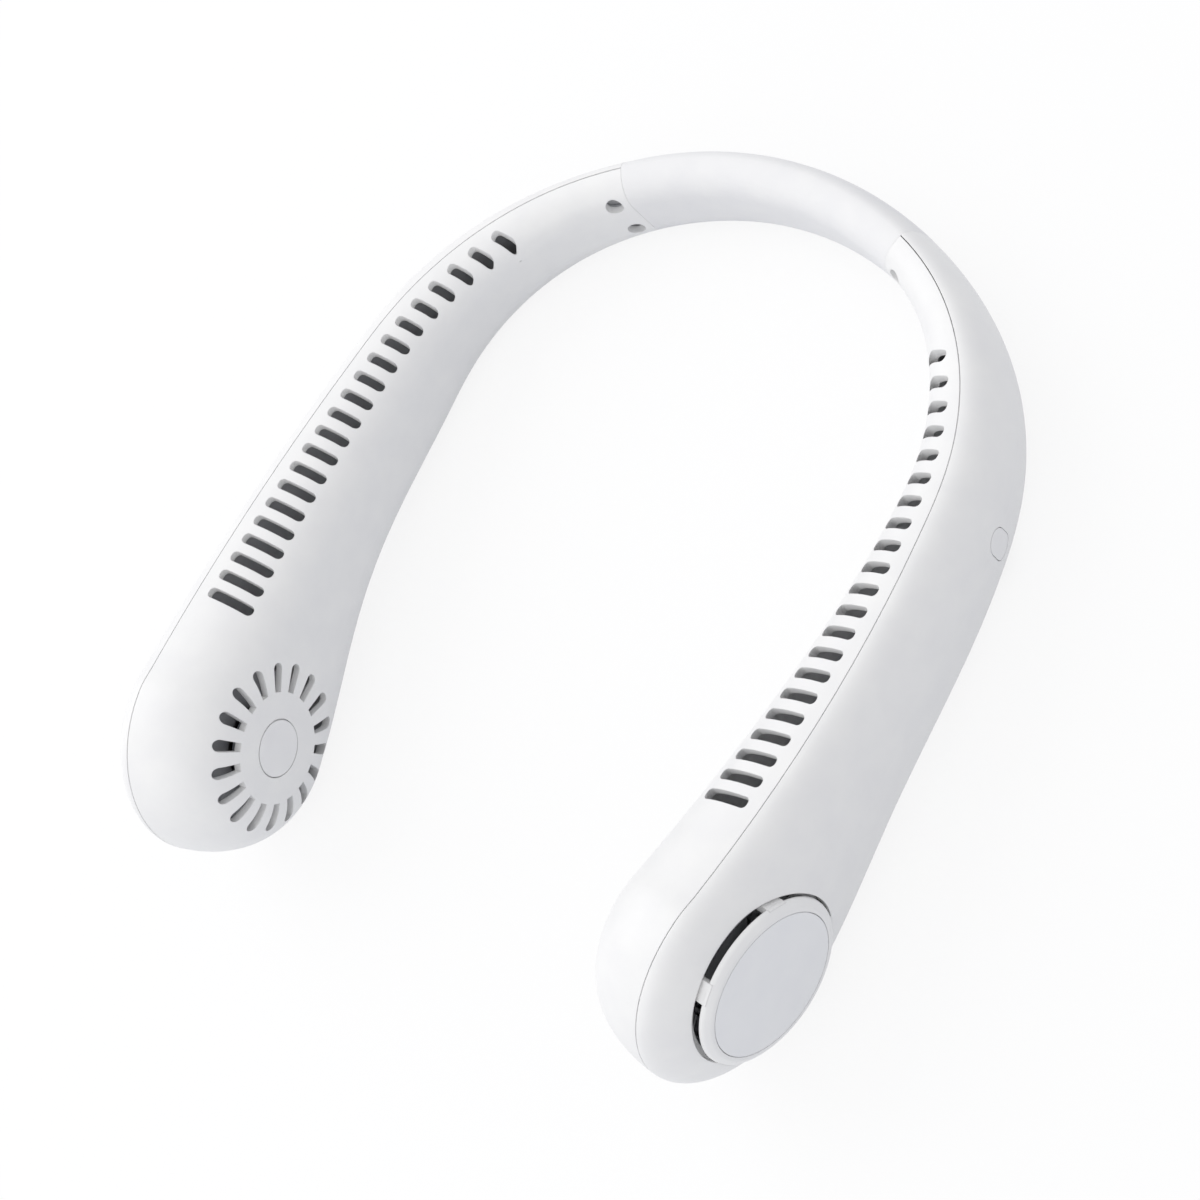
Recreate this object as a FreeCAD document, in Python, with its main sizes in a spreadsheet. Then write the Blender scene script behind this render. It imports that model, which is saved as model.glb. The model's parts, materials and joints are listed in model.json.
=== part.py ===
import FreeCAD, Part
import math
import os
import Sketcher
from FreeCAD import BoundBox, Matrix, Placement, Rotation, Vector

# Electric neck fan: two hollow arms with a blower in each round end, joined by a soft band
# that lies on the nape. Millimetres, +Z up, the arms point to -Y, the band is at +Y.
# The part lies on the table plane Z = 0. The wearer's left arm is at +X and holds the button.

doc = FreeCAD.newDocument("neck_fan")
dims = doc.addObject("Spreadsheet::Sheet", "dims")

SIZES = (
    # arms and neck curve, seen from above
    ("band_bend_radius", "102.0", "bend of the neck band at the seam line"),
    ("band_half_angle", "25.9", "half of the angle that the band spans"),
    ("shoulder_bend_radius", "81.0", "bend where the arm leaves the band"),
    ("shoulder_angle", "57.6", "angle of that bend"),
    ("arm_bend_radius", "425.0", "gentle bend of the long part of the arm"),
    ("arm_length", "117.0", "length of that part, up to the fan axis"),
    # cross-sections, seen along the arm
    ("pod_radius", "30.7", "outside radius of the round fan housing"),
    ("pod_inner_depth", "24.3", "seam plane to the grille face"),
    ("pod_outer_depth", "11.8", "seam plane to the crown of the outer shell"),
    ("pod_blend_length", "57.0", "length over which the outer shell thins to the arm"),
    ("arm_outer_depth", "9.3", "seam plane to the outer face of the arm"),
    ("outer_taper_start", "120.0", "distance from the fan axis where the arm thins to the band"),
    ("band_height", "26.0", "height of the neck band"),
    ("band_inner_depth", "8.4", "seam plane to the face that touches the neck"),
    ("band_outer_depth", "5.0", "seam plane to the outer face of the band"),
    ("top_line_angle", "12.5", "slope of the top edge where it leaves the pod"),
    ("top_line_power", "1.44", "how early the top edge levels out"),
    ("waist_lift", "4.5", "rise of the bottom edge behind the pod"),
    ("waist_length", "113.0", "length of that rise"),
    ("inner_flat_share", "0.41", "flat share of the inner face's height"),
    ("inner_fullness", "0.865", "rounding of the inner face: 0.71 is an ellipse, more is squarer"),
    ("depth_fall_power", "0.755", "how early the inner depth falls towards the band"),
    ("lean_depth", "3.8", "how much deeper the inner face is at its top than at its bottom"),
    ("lean_place", "0.69", "where the arm leans most, as a share of its reach from the fan axis"),
    ("wall", "2.0", "wall of the arm shells"),
    ("seam_gap", "0.2", "hairline between inner and outer shell"),
    # air slots along the top of each arm, all parallel
    ("slot_count", "21", "slots on one arm"),
    ("slot_width", "3.0", "width of a slot"),
    ("slot_corner", "1.3", "corner radius of a slot"),
    ("slot_tilt", "12.5", "tilt of the slots towards the band, from straight down"),
    ("slot_start", "33.45", "first slot, behind the fan axis"),
    ("slot_pitch", "5.58", "first slot to the second"),
    ("slot_pitch_step", "0.04", "how much each pitch is longer than the one before"),
    ("slot_near_edge", "2.9", "seam to the slot's near end, without the next share"),
    ("slot_near_share", "0.035", "share of the inner face's depth at the top"),
    ("slot_far_edge", "0.6", "seam to the slot's far end, without the next share"),
    ("slot_far_share", "0.74", "share of the inner face's depth at the top"),
    # grille on the neck side of the pod
    ("grille_count", "18", "openings in the grille"),
    ("grille_inner_radius", "14.8", "inner end of a grille opening"),
    ("grille_outer_radius", "22.5", "outer end of a grille opening"),
    ("grille_inner_width", "2.2", "width at the inner end"),
    ("grille_outer_width", "3.2", "width at the outer end"),
    ("grille_turn", "14.0", "first grille opening, up from the front"),
    ("badge_radius", "7.8", "plain round inlay in the grille's centre"),
    ("badge_thickness", "1.0", "thickness of the inlay"),
    ("badge_gap", "0.3", "visible line round the inlay"),
    # air inlet and its raised cap on the outer side of the pod
    ("inlet_radius", "22.3", "opening in the outer shell"),
    ("inlet_setback", "1.2", "opening and cap behind the fan axis"),
    ("cap_height", "12.1", "seam plane to the cap's flat top"),
    ("cap_radius", "21.6", "rim of the cap"),
    ("cap_skin", "1.6", "wall of the cap"),
    ("cap_land", "1.0", "flat between the disc and the rim's slope"),
    ("cap_edge", "1.0", "upright edge of the rim"),
    ("cap_round", "1.4", "rounding of the rim"),
    ("cap_air_gap", "1.8", "open height between the rim and the shell"),
    ("disc_radius", "18.65", "flat disc let into the cap"),
    ("disc_thickness", "0.9", "thickness of the disc"),
    ("trim_gap", "0.15", "visible line round the disc"),
    ("post_count", "5", "posts that carry the cap"),
    ("post_angle", "66.0", "first post, up from the front"),
    ("post_width", "5.4", "width of a post"),
    ("post_depth", "1.7", "radial depth of a post"),
    ("ring_drop", "1.0", "cap ring below the edge of the opening"),
    ("ring_height", "2.2", "height of the cap ring"),
    ("ring_width", "1.65", "radial width of the cap ring"),
    ("ring_fit", "0.05", "clearance of the ring in the opening"),
    # blower
    ("boss_radius", "9.0", "motor boss on the grille's inside"),
    ("boss_height", "3.0", "height of the boss"),
    ("base_radius", "11.0", "motor base plate"),
    ("base_thickness", "1.2", "thickness of the plate"),
    ("tube_radius", "3.2", "outside of the bearing tube"),
    ("bearing_radius", "2.5", "outside of the sleeve bearing"),
    ("shaft_radius", "1.0", "motor shaft"),
    ("shaft_clearance", "0.03", "running clearance of the shaft"),
    ("rotor_gap", "0.8", "axial clearance of the rotor"),
    ("stator_radius", "8.5", "stator pack with its winding"),
    ("stator_height", "7.0", "height of the stator pack"),
    ("air_gap", "0.4", "between stator and magnet"),
    ("magnet_thickness", "1.0", "wall of the magnet ring"),
    ("cup_wall", "0.8", "wall of the steel rotor cup"),
    ("hub_wall", "1.2", "wall of the impeller hub"),
    ("hub_plate", "1.5", "plate over the rotor cup"),
    ("web_thickness", "1.2", "disc that carries the blades"),
    ("blade_count", "24", "blades on one impeller"),
    ("blade_inner", "14.4", "inner radius of the blades"),
    ("blade_outer", "20.0", "outer radius of the blades"),
    ("blade_sweep", "16.0", "angle by which a blade leans"),
    ("blade_thickness", "0.9", "thickness of a blade"),
    ("blade_height", "16.8", "height of a blade"),
    ("shroud_width", "1.6", "ring that ties the blade tips"),
    ("shroud_thickness", "1.2", "thickness of that ring"),
    ("motor_screw_count", "3", "screws that hold one motor"),
    ("motor_screw_circle", "6.4", "radius on which the motor screws sit"),
    ("motor_screw_radius", "0.8", "thread of a motor screw"),
    ("motor_head_radius", "1.3", "head of a motor screw"),
    ("motor_head_height", "0.8", "height of that head"),
    ("motor_screw_grip", "2.4", "thread length in the boss"),
    ("scroll_radius", "24.6", "inside of the scroll wall round the impeller"),
    ("scroll_wall", "1.2", "thickness of the scroll wall"),
    ("scroll_mouth_angle", "110.0", "open side of the scroll, towards the arm"),
    # air duct and electrics in the arms
    ("lining_fit", "0.15", "inner pieces to the shells"),
    ("plate_offset", "0.3", "seam plane to the duct plate"),
    ("plate_thickness", "1.2", "thickness of the duct plate"),
    ("plate_start", "27.0", "front end of the duct plate, from the fan axis"),
    ("lead_radius", "1.1", "cable between the two arms"),
    ("lead_height", "14.2", "height of the cable above the table"),
    ("lead_front", "34.0", "front end of the cable, from the fan axis"),
    ("connector_size", "4.0", "block on the cable's end"),
    ("battery_position", "66.0", "middle of the cell, from the fan axis"),
    ("battery_length", "60.0", "lithium cell"),
    ("battery_height", "22.0", "lithium cell"),
    ("battery_thickness", "4.0", "lithium cell"),
    ("battery_round", "1.0", "rounding of the cell"),
    ("board_length", "22.0", "circuit board along the arm"),
    ("board_height", "24.0", "circuit board"),
    ("board_thickness", "1.0", "circuit board"),
    ("board_offset", "0.8", "seam plane to the circuit board"),
    ("button_position", "115.0", "power button, from the fan axis"),
    ("button_height", "16.0", "middle of the power button above the table"),
    ("button_length", "10.0", "power button, upright"),
    ("button_width", "6.8", "power button, along the arm"),
    ("button_clearance", "0.15", "power button in its hole"),
    ("button_flange", "0.7", "collar that keeps the button in"),
    ("collar_thickness", "0.7", "thickness of the collar"),
    ("collar_clear", "1.2", "collar to the shell behind it"),
    ("button_travel", "0.5", "how far the button goes in"),
    ("switch_side", "5.2", "push switch on the board"),
    ("switch_height", "2.4", "push switch"),
    ("plunger_radius", "1.6", "plunger of the push switch"),
    ("press_gap", "0.1", "button to plunger when pressed"),
    ("socket_width", "8.9", "charging socket"),
    ("socket_thickness", "3.2", "charging socket"),
    ("socket_depth", "6.7", "charging socket"),
    ("socket_skin", "0.3", "steel of the socket"),
    ("socket_fit", "0.15", "socket in the shell"),
    ("socket_recess", "3.2", "table to the socket's mouth"),
    ("tongue_width", "6.6", "contact tongue in the socket"),
    ("tongue_thickness", "0.7", "contact tongue in the socket"),
    ("tongue_setback", "0.6", "tongue behind the socket's mouth"),
    # neck band and how it is held
    ("band_wall", "2.4", "wall of the soft sleeve"),
    ("band_gap", "0.1", "sleeve to the arm shells"),
    ("plug_depth", "10.0", "band plug inside the arm"),
    ("plug_tongue", "12.0", "band plug inside the sleeve"),
    ("plug_fit", "0.1", "band plug to what surrounds it"),
    ("wire_radius", "0.8", "spring wire in the band"),
    ("wire_spread", "7.0", "spring wires above and below the middle"),
    ("wire_seat", "7.0", "length of wire held in the plug"),
    ("screw_setback", "5.0", "band screw to the end of the arm"),
    ("screw_lift", "1.6", "middle of the band screws above the middle of the band"),
    ("screw_spread", "6.1", "band screws above and below that"),
    ("screw_hole_radius", "2.4", "access hole of a band screw"),
    ("screw_head_radius", "2.1", "head of a band screw"),
    ("screw_head_height", "1.2", "height of that head"),
    ("screw_sink", "1.5", "head below the plug's face"),
    ("screw_radius", "0.9", "thread of a band screw"),
    ("screw_skin", "0.5", "outer shell left over the tip of a band screw"),
    ("screw_fit", "0.05", "thread in its pilot hole"),
)
for row, (alias, value, meaning) in enumerate(SIZES, start=1):
    dims.set("A%d" % row, alias)
    dims.set("B%d" % row, value)
    dims.setAlias("B%d" % row, alias)
    dims.set("C%d" % row, meaning)
doc.recompute()


class Sizes:
    """The sheet's values under their own names."""


size = Sizes()
for alias, value, meaning in SIZES:
    setattr(size, alias, float(dims.get(alias)))

UP = Vector(0, 0, 1)
STATIONS = 24          # cross-sections that shape one arm
STATION_POWER = 1.5    # they stand closer together near the pod
OVERRUN = 1.0          # how far a cutter passes what it cuts
SAME_POINT = 1e-6      # points closer than this are one point
NEAR = 1e-3            # an edge this close to a wanted circle is that circle

band_arc = size.band_bend_radius * math.radians(size.band_half_angle)
shoulder_arc = size.shoulder_bend_radius * math.radians(size.shoulder_angle)
arm_reach = size.arm_length + shoulder_arc


# Neck curve and cross-sections. "along" is the distance from the fan axis towards the band.

def heading(angle):
    return Vector(math.sin(angle), math.cos(angle), 0)


band_turn = math.radians(size.band_half_angle)
arm_turn = band_turn + math.radians(size.shoulder_angle)
BAND_CENTRE = Vector(0, 0, 0)
SHOULDER_CENTRE = heading(band_turn) * (size.band_bend_radius - size.shoulder_bend_radius)
ARM_CENTRE = SHOULDER_CENTRE + heading(arm_turn) * (size.shoulder_bend_radius - size.arm_bend_radius)


def neck_curve(along):
    """Point on the seam line, seen from above, and the direction that faces away from the neck."""
    from_nape = arm_reach + band_arc - along
    if from_nape <= band_arc:
        centre, radius, turn = BAND_CENTRE, size.band_bend_radius, from_nape / size.band_bend_radius
    elif from_nape <= band_arc + shoulder_arc:
        centre, radius = SHOULDER_CENTRE, size.shoulder_bend_radius
        turn = band_turn + (from_nape - band_arc) / radius
    else:
        centre, radius = ARM_CENTRE, size.arm_bend_radius
        turn = arm_turn + (from_nape - band_arc - shoulder_arc) / radius
    return centre + heading(turn) * radius, heading(turn)


def ease(share):
    """Falls smoothly from 1 at share 0 to 0 at share 1."""
    return (1 + math.cos(math.pi * min(max(share, 0), 1))) / 2


def profile(along):
    """Top and bottom height, outer and inner depth of the arm's cross-section."""
    along = min(along, arm_reach)
    slope = math.radians(size.top_line_angle)
    if along < size.pod_radius * math.sin(slope):
        top = size.pod_radius + math.sqrt(size.pod_radius ** 2 - along ** 2)
    else:
        drop = size.pod_radius / math.cos(slope) + size.pod_radius - size.band_height
        top = size.band_height + drop * (1 - along / arm_reach) ** size.top_line_power
    bottom = 0
    if along < size.waist_length:
        bottom = size.waist_lift * math.sin(math.pi * along / size.waist_length) ** 2
    taper = (along - size.outer_taper_start) / (arm_reach - size.outer_taper_start)
    outer = size.band_outer_depth + (size.arm_outer_depth - size.band_outer_depth) * ease(taper)
    outer += (size.pod_outer_depth - size.arm_outer_depth) * ease(along / size.pod_blend_length)
    inner = size.band_inner_depth
    fall = ease((along / arm_reach) ** size.depth_fall_power)
    inner += (size.pod_inner_depth - size.band_inner_depth) * fall
    return top, bottom, outer, inner


def lean(along):
    """How much deeper the inner face is at its top than at its bottom."""
    share = along / arm_reach
    if share < size.lean_place:
        return size.lean_depth * (1 - ease(share / size.lean_place))
    return size.lean_depth * ease((share - size.lean_place) / (1 - size.lean_place))


def on_arm(along, out, height):
    """Point at a distance out from the seam plane and at a height above the table."""
    point, outward = neck_curve(along)
    return point + outward * out + UP * height


ELLIPSE = math.sqrt(0.5)


def rounding(start, corner, end, fullness=ELLIPSE):
    """Quarter turn between two straight lines that meet in the corner."""
    curve = Part.BSplineCurve()
    weights = (1, fullness, 1)
    curve.buildFromPolesMultsKnots([start, corner, end], (3, 3), (0, 1), False, 2, weights)
    return curve.toShape()


def outer_edges(along, inset, seam):
    top, bottom, outer, inner = profile(along)
    top, bottom, outer = top - inset, bottom + inset, outer - inset
    middle = (top + bottom) / 2
    foot, crown = on_arm(along, seam, bottom), on_arm(along, seam, top)
    belly = on_arm(along, outer, middle)
    return [
        rounding(foot, on_arm(along, outer, bottom), belly),
        rounding(belly, on_arm(along, outer, top), crown),
    ]


def inner_edges(along, inset, seam):
    top, bottom, outer, inner = profile(along)
    slant = lean(along) / (top - bottom)
    top, bottom, inner = top - inset, bottom + inset, inner - inset
    middle, half = (top + bottom) / 2, (top - bottom) / 2
    flat = size.inner_flat_share * half
    crown, foot = on_arm(along, -seam, top), on_arm(along, -seam, bottom)
    upper, high, low, lower = [
        on_arm(along, -inner - slant * rise, middle + rise) for rise in (half, flat, -flat, -half)
    ]
    return [
        rounding(crown, upper, high, size.inner_fullness),
        Part.makeLine(high, low),
        rounding(low, lower, foot, size.inner_fullness),
    ]


def section(along, half, inset, seam):
    """Closed cross-section of the outer half, the inner half or the whole arm."""
    if half == "whole":
        return Part.Wire(outer_edges(along, inset, seam) + inner_edges(along, inset, seam))
    edges = outer_edges(along, inset, seam) if half == "outer" else inner_edges(along, inset, seam)
    start, end = edges[0].Vertexes[0].Point, edges[-1].Vertexes[-1].Point
    return Part.Wire(edges + [Part.makeLine(end, start)])


def pod_front(half, inset, seam):
    """Front half of the round housing, turned about the fan axis."""
    upper = {"outer": outer_edges(0, inset, seam)[1:], "inner": inner_edges(0, inset, seam)[:1]}
    upper["whole"] = upper["outer"] + upper["inner"]
    edges = upper[half]
    start, end = edges[0].Vertexes[0].Point, edges[-1].Vertexes[-1].Point
    axis_height = size.pod_radius
    corners = [end, Vector(end.x, end.y, axis_height), Vector(start.x, start.y, axis_height), start]
    for here, there in zip(corners, corners[1:]):
        if here.distanceToPoint(there) > SAME_POINT:
            edges.append(Part.makeLine(here, there))
    return Part.Face(Part.Wire(edges)).revolve(corners[1], neck_curve(0)[1], 180)


def loft(stops, half, inset, seam):
    return Part.makeLoft([section(along, half, inset, seam) for along in stops], True)


def arm_form(half, inset, seam, overrun=0):
    """One arm with its pod as a full body, or half of it, shrunk by the inset."""
    stops = [arm_reach * (index / STATIONS) ** STATION_POWER for index in range(STATIONS + 1)]
    if overrun:
        stops.append(arm_reach + overrun)
    return loft(stops, half, inset, seam).fuse(pod_front(half, inset, seam))


def frame_of(origin, x_axis, y_axis, z_axis):
    columns = (x_axis, y_axis, z_axis, origin)
    rows = [[getattr(column, name) for column in columns] for name in ("x", "y", "z")]
    return Placement(Matrix(*rows[0], *rows[1], *rows[2]))


def arm_frame(along, out=0, height=0, side=1):
    """Place on an arm: Z faces away from the neck, Y is up. Side -1 is the wearer's right."""
    origin, outward = on_arm(along, out, height), neck_curve(along)[1]
    origin.x *= side
    outward.x *= side
    return frame_of(origin, UP.cross(outward), UP, outward)


def placed(shape, place):
    moved = shape.copy()
    moved.Placement = place.multiply(shape.Placement)
    return moved


def disc(radius, low, high):
    return Part.makeCylinder(radius, high - low, Vector(0, 0, low))


def stadium(length, width, depth):
    """Bar with round ends, along X, centred, from Z = 0 up to the depth."""
    reach, radius = (length - width) / 2, width / 2
    right = Part.Arc(Vector(reach, -radius), Vector(reach + radius, 0), Vector(reach, radius))
    left = Part.Arc(Vector(-reach, radius), Vector(-reach - radius, 0), Vector(-reach, -radius))
    lower = Part.LineSegment(Vector(-reach, -radius), Vector(reach, -radius))
    upper = Part.LineSegment(Vector(reach, radius), Vector(-reach, radius))
    wire = Part.Wire([edge.toShape() for edge in (lower, right, upper, left)])
    return Part.Face(wire).extrude(Vector(0, 0, depth))


def spun(count, first_angle):
    """Placements that share the fan axis, evenly turned about it."""
    return [
        Placement(Vector(), Rotation(UP, first_angle + 360 * index / count)) for index in range(int(count))
    ]


# Cutters for the shells.

def slot_end(back, edge, share):
    """End of a slot at a distance behind the fan axis, level with the top of the inner face's flat,
    and the height of the arm's top edge there."""
    low, high = 0, arm_reach
    while high - low > SAME_POINT:
        along = (low + high) / 2
        top, bottom, outer, inner = profile(along)
        flat_top = (top + bottom + size.inner_flat_share * (top - bottom)) / 2
        place = on_arm(along, -edge - share * (inner + lean(along) / 2), flat_top)
        if place.y < neck_curve(0)[0].y + back:
            low = along
        else:
            high = along
    return place, top


def slot_cutter(back):
    """One air slot across the arm's top."""
    near, top = slot_end(back, size.slot_near_edge, size.slot_near_share)
    far = slot_end(back, size.slot_far_edge, size.slot_far_share)[0]
    corner = Vector(far.x, far.y - size.slot_width / 2, far.z)
    bar = Part.makeBox(near.x - far.x, size.slot_width, 2 * size.pod_radius, corner)
    upright = [edge for edge in bar.Edges if edge.BoundBox.ZLength > SAME_POINT]
    bar = bar.makeFillet(size.slot_corner, upright)
    bar.rotate(Vector(far.x, far.y, top), Vector(1, 0, 0), -size.slot_tilt)
    return bar


def grille_cutter():
    """One opening of the grille: narrow and square inside, wide and round outside."""
    inner_half, outer_half = size.grille_inner_width / 2, size.grille_outer_width / 2
    shoulder = size.grille_outer_radius - outer_half
    low_start = Vector(size.grille_inner_radius, -inner_half)
    low_end = Vector(shoulder, -outer_half)
    high_end = Vector(shoulder, outer_half)
    high_start = Vector(size.grille_inner_radius, inner_half)
    tip = Vector(size.grille_outer_radius, 0)
    edges = [
        Part.LineSegment(low_start, low_end),
        Part.Arc(low_end, tip, high_end),
        Part.LineSegment(high_end, high_start),
        Part.LineSegment(high_start, low_start),
    ]
    face = Part.Face(Part.Wire([edge.toShape() for edge in edges]))
    depth = size.pod_inner_depth + OVERRUN
    face.translate(Vector(0, 0, -depth))
    return face.extrude(Vector(0, 0, depth))


screw_along = arm_reach - size.screw_setback
screw_profile = profile(screw_along)
screw_seat = size.screw_sink + size.wall + size.plug_fit - screw_profile[3]
band_middle = size.band_height / 2
# the outer face curves in towards its top, so the upper screw sets the length of both
screw_edge = (size.screw_lift + size.screw_spread + size.screw_radius) / band_middle
screw_tip = screw_profile[2] * math.sqrt(1 - screw_edge ** 2) - size.screw_skin


def screw_frames():
    middle = band_middle + size.screw_lift
    return [arm_frame(screw_along, 0, middle + shift) for shift in (-size.screw_spread, size.screw_spread)]


def for_each(places, shape):
    return [placed(shape, place) for place in places]


fan_frame = arm_frame(0, 0, size.pod_radius)
pod_floor = size.wall - size.pod_inner_depth
motor_screw_places = [
    place.multiply(Placement(Vector(size.motor_screw_circle, 0, 0), Rotation()))
    for place in spun(size.motor_screw_count, 90)
]


def inner_shell():
    shell = arm_form("inner", 0, size.seam_gap / 2).cut(arm_space)
    boss = disc(size.boss_radius, pod_floor - size.wall / 2, pod_floor + size.boss_height)
    shell = shell.fuse(placed(boss, fan_frame))
    cutters = []
    back, pitch = size.slot_start, size.slot_pitch
    for index in range(int(size.slot_count)):
        cutters.append(slot_cutter(back))
        back += pitch
        pitch += size.slot_pitch_step
    front_first = 180 - size.grille_turn
    fan_cuts = for_each(spun(size.grille_count, front_first), grille_cutter())
    fan_cuts.append(disc(size.badge_radius, -size.pod_inner_depth - OVERRUN,
                         size.badge_thickness - size.pod_inner_depth))
    boss_top = pod_floor + size.boss_height
    pilot = disc(size.motor_screw_radius + size.screw_fit, boss_top - size.motor_screw_grip - size.screw_fit,
                 boss_top + OVERRUN)
    fan_cuts += for_each(motor_screw_places, pilot)
    cutters += [placed(cut, fan_frame) for cut in fan_cuts]
    access = disc(size.screw_hole_radius, -screw_profile[3] - OVERRUN, -OVERRUN)
    cutters += for_each(screw_frames(), access)
    return shell.cut(cutters)


def inlet_frame(side):
    """Axis of the inlet and its cap, a little behind the fan axis."""
    setback = Vector(side * size.inlet_setback, 0, 0)
    return arm_frame(0, 0, size.pod_radius, side).multiply(Placement(setback, Rotation()))


def outer_shell():
    shell = arm_form("outer", 0, size.seam_gap / 2).cut(arm_space)
    inlet = disc(size.inlet_radius, 0, size.pod_outer_depth + OVERRUN)
    pilot = disc(size.screw_radius + size.screw_fit, 0, screw_tip + size.screw_fit)
    return shell.cut([placed(inlet, inlet_frame(1))] + for_each(screw_frames(), pilot))


button_outer = profile(size.button_position)[2]
button_frame = arm_frame(size.button_position, 0, size.button_height)
socket_out = size.board_offset + size.board_thickness + size.socket_thickness / 2
outward_at_button = neck_curve(size.button_position)[1]
socket_frame = frame_of(on_arm(size.button_position, socket_out, 0), UP.cross(outward_at_button),
                        -outward_at_button, UP)


def button_bar(margin, low, high):
    """Upright bar with round ends, larger than the button by the margin all round."""
    bar = stadium(size.button_length + 2 * margin, size.button_width + 2 * margin, high - low)
    return placed(bar, Placement(UP * low, Rotation(UP, 90)))


def button_side_cutters():
    """Holes for the power button and the charging socket, in the wearer's left arm only."""
    hole = button_bar(size.button_clearance, 0, button_outer + OVERRUN)
    mouth = stadium(size.socket_width + 2 * size.socket_fit, size.socket_thickness + 2 * size.socket_fit,
                    size.socket_recess + size.socket_depth + OVERRUN)
    lowered = socket_frame.multiply(Placement(UP * -OVERRUN, Rotation()))
    return [placed(hole, button_frame), placed(mouth, lowered)]


def charging_socket():
    shell = stadium(size.socket_width, size.socket_thickness, size.socket_depth)
    skin = 2 * size.socket_skin
    cavity_depth = size.socket_depth - size.socket_skin
    cavity = stadium(size.socket_width - skin, size.socket_thickness - skin, cavity_depth)
    tongue = Part.makeBox(size.tongue_width, size.tongue_thickness, size.socket_depth,
                          Vector(-size.tongue_width / 2, -size.tongue_thickness / 2, 0))
    tongue = tongue.cut(disc(size.socket_width, 0, size.tongue_setback))
    body = shell.cut(cavity).fuse(tongue)
    return placed(body, socket_frame.multiply(Placement(UP * size.socket_recess, Rotation())))


def power_button():
    """Flush with the curved outer face, with a collar behind the shell."""
    underside = button_outer - size.wall - size.collar_clear - size.collar_thickness
    stem = button_bar(0, underside, button_outer + OVERRUN)
    collar = button_bar(size.button_flange, underside, underside + size.collar_thickness)
    crown = placed(stem, button_frame).common(arm_form("outer", 0, size.seam_gap / 2))
    return crown.fuse(placed(collar, button_frame)).removeSplitter()


def duct_plate():
    """Upright wall between the air duct and the cell, along the arm."""
    near, far = -size.plate_offset, -size.plate_offset - size.plate_thickness
    low, high = -OVERRUN, 2 * size.pod_radius + OVERRUN
    back = arm_reach - size.plug_depth - OVERRUN
    wires = []
    for index in range(STATIONS + 1):
        along = size.plate_start + (back - size.plate_start) * index / STATIONS
        corners = ((near, low), (near, high), (far, high), (far, low), (near, low))
        wires.append(Part.makePolygon([on_arm(along, out, height) for out, height in corners]))
    return Part.makeLoft(wires, True).common(lining_space)


def fan_scroll():
    """Wall round the impeller, open towards the arm."""
    reach = size.pod_inner_depth
    wall = disc(size.scroll_radius + size.scroll_wall, -reach, reach)
    wall = wall.cut(disc(size.scroll_radius, -reach, reach))
    mouth = Part.makeCylinder(size.pod_radius, 2 * reach, Vector(0, 0, -reach), UP, size.scroll_mouth_angle)
    mouth.rotate(Vector(), UP, -size.scroll_mouth_angle / 2)
    return placed(wall.cut(mouth), fan_frame).common(lining_space)


def arc_tube(centre, radius, tube_radius, height, first_turn, last_turn):
    """Round bar along an arc of the neck curve, between two headings in radians."""
    sweep = math.degrees(last_turn - first_turn)
    start = centre + heading(last_turn) * radius + UP * height
    along = Vector(heading(last_turn).y, -heading(last_turn).x, 0)
    circle = Part.Wire([Part.Circle(start, along, tube_radius).toShape()])
    return Part.Face(circle).revolve(centre + UP * height, UP, sweep)


lead_out = size.plate_offset + size.plate_thickness + size.lead_radius + size.lining_fit


def lead_in_arm(tube_radius, front):
    """The cable's run inside one arm, from the band to the given front end."""
    bend = arc_tube(SHOULDER_CENTRE, size.shoulder_bend_radius - lead_out, tube_radius, size.lead_height,
                    band_turn, min(arm_turn, band_turn + (arm_reach - front) / size.shoulder_bend_radius))
    if front >= size.arm_length:
        return bend
    last_turn = arm_turn + (size.arm_length - front) / size.arm_bend_radius
    run = arc_tube(ARM_CENTRE, size.arm_bend_radius - lead_out, tube_radius, size.lead_height,
                   arm_turn, last_turn)
    return bend.fuse(run)


def lead_in_band(tube_radius, reach):
    """The cable's run inside the band, from the given distance past the +X arm's end."""
    return arc_tube(BAND_CENTRE, size.band_bend_radius - lead_out, tube_radius, size.lead_height,
                    band_turn - reach / size.band_bend_radius, band_turn)


def motor_lead():
    block = size.connector_size
    connector = Part.makeBox(block, block, block, Vector(-block / 2, -block / 2, -block / 2))
    out = -size.plate_offset - size.plate_thickness - size.lining_fit - block / 2
    connector = placed(connector, arm_frame(size.lead_front, out, size.lead_height))
    return lead_in_arm(size.lead_radius, size.lead_front).fuse(connector)


def band_plug():
    """Rigid insert that joins the soft band to an arm."""
    arm_stops = [arm_reach - size.plug_depth * share for share in (1, 0.5, 0)]
    band_stops = [arm_reach + size.plug_tongue * share for share in (0, 0.5, 1)]
    body = loft(arm_stops, "whole", size.wall + size.plug_fit, 0)
    body = body.fuse(loft(band_stops, "whole", size.band_wall + size.plug_fit, 0))
    bore = size.lead_radius + size.plug_fit
    cutters = [
        lead_in_arm(bore, arm_reach - size.plug_depth - OVERRUN),
        lead_in_band(bore, size.plug_tongue + OVERRUN),
    ]
    first = band_turn - (size.plug_tongue + OVERRUN) / size.band_bend_radius
    last = band_turn - (size.plug_tongue - size.wire_seat - size.plug_fit) / size.band_bend_radius
    for height in wire_heights:
        cutters.append(arc_tube(BAND_CENTRE, size.band_bend_radius, size.wire_radius + size.plug_fit,
                                height, first, last))
    shank = disc(size.screw_radius + size.screw_fit, -size.pod_inner_depth, size.pod_outer_depth)
    sink = disc(size.screw_hole_radius, -size.pod_inner_depth, screw_seat)
    cutters += for_each(screw_frames(), shank) + for_each(screw_frames(), sink)
    return body.cut(cutters)


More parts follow.
